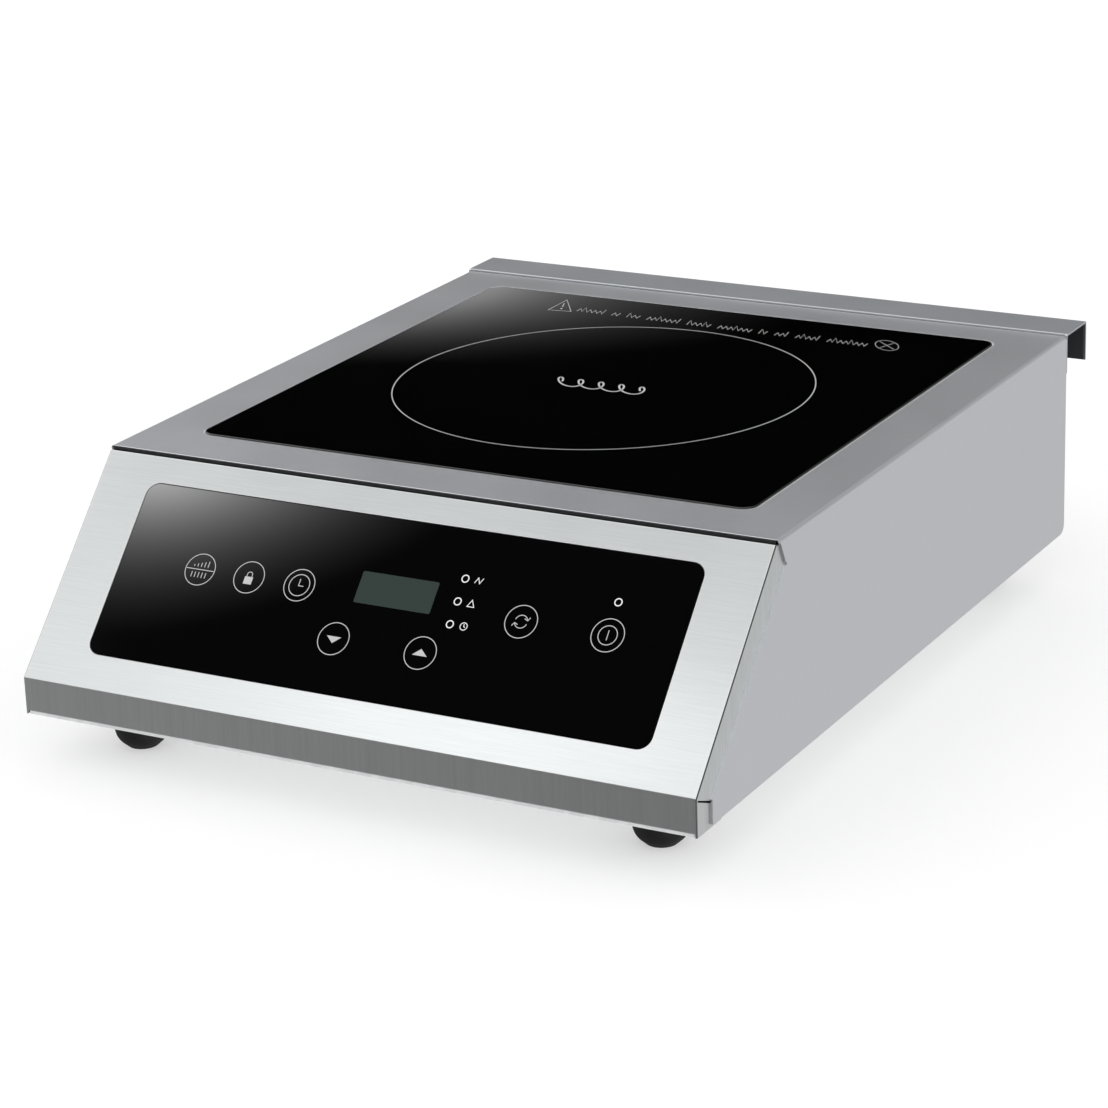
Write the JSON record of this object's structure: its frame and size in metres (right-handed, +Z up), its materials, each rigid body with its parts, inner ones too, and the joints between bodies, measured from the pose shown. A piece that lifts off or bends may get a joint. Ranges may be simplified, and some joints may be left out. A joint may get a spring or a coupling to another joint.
{
  "type": "countertop induction hob",
  "caption": "Countertop induction hob: folded steel case, flush glass cooking plate, touch panel on a sloping front, rear spacer channel.",
  "frame": {"origin": "on the surface that the feet stand on, under the middle of the hob, the rear spacer included", "axes": "+X to the right as seen by the cook, +Y to the rear, +Z up; the lip and touch panel face -Y"},
  "size_m": [0.34, 0.44, 0.1275],
  "materials": {
    "brushed_steel_case": "brushed stainless steel sheet",
    "zinc_steel": "zinc-plated steel",
    "aluminium": "plain extruded aluminium",
    "brass": "plain turned",
    "black_ceramic_glass": "polished opaque glass ceramic",
    "black_silicone": "silicone sealant",
    "white_silicone": "silicone rubber",
    "black_rubber": "moulded rubber",
    "black_plastic": "moulded glass-filled nylon",
    "white_plastic": "moulded nylon",
    "grey_plastic": "smoked display plastic",
    "yellow_plastic": "epoxy-filled capacitor case",
    "circuit_board": "glass-epoxy board with solder mask",
    "mica": "pressed mica sheet",
    "copper_wire": "enamelled stranded copper",
    "ferrite": "sintered ferrite"
  },
  "bodies": {
    "housing": {"base_plate": "zinc_steel", "base_screws": "zinc_steel", "board_standoffs": "white_plastic", "bridge_rectifier": "black_plastic", "cable_gland": "black_plastic", "ceramic_glass": "black_ceramic_glass", "coil_former": "black_plastic", "coil_posts": "black_plastic", "coil_springs": "zinc_steel", "control_board": "circuit_board", "control_board_screws": "zinc_steel", "control_glass": "black_ceramic_glass", "control_glass_tape": "black_silicone", "control_tray": "black_plastic", "earth_stud": "brass", "fan_screws": "zinc_steel", "ferrite_bars": "ferrite", "filter_capacitors": "yellow_plastic", "filter_choke": "copper_wire", "foot_bolts": "zinc_steel", "foot_nuts": "zinc_steel", "front_left_foot": "black_rubber", "front_panel": "brushed_steel_case", "front_right_foot": "black_rubber", "gland_nut": "black_plastic", "glass_seal": "black_silicone", "glass_shelf": "zinc_steel", "heat_sink": "aluminium", "indicator_leds": "grey_plastic", "induction_coil": "copper_wire", "key_springs": "zinc_steel", "led_display": "grey_plastic", "left_fan_bush": "brass", "left_fan_frame": "black_plastic", "left_fan_stator": "copper_wire", "mica_sheet": "mica", "power_board": "circuit_board", "power_board_screws": "zinc_steel", "power_transistors": "black_plastic", "rear_left_foot": "black_rubber", "rear_panel": "brushed_steel_case", "rear_right_foot": "black_rubber", "rear_spacer": "brushed_steel_case", "resonance_capacitors": "yellow_plastic", "right_fan_bush": "brass", "right_fan_frame": "black_plastic", "right_fan_stator": "copper_wire", "sensor_holder": "white_silicone", "spacer_rivets": "aluminium", "temperature_sensor": "white_silicone", "terminal_block": "white_plastic", "top_cover": "brushed_steel_case"},
    "left_fan": {"left_fan_rotor": "black_plastic", "left_fan_shaft": "zinc_steel"},
    "right_fan": {"right_fan_rotor": "black_plastic", "right_fan_shaft": "zinc_steel"}
  },
  "joints": [
    {"name": "left_fan_spin", "type": "hinge", "parent": "housing", "child": "left_fan", "pos_m": [-0.062, 0.12, 0.0365], "axis": [0, 0, 1], "continuous": true},
    {"name": "right_fan_spin", "type": "hinge", "parent": "housing", "child": "right_fan", "pos_m": [0.062, 0.12, 0.0365], "axis": [0, 0, 1], "continuous": true}
  ]
}
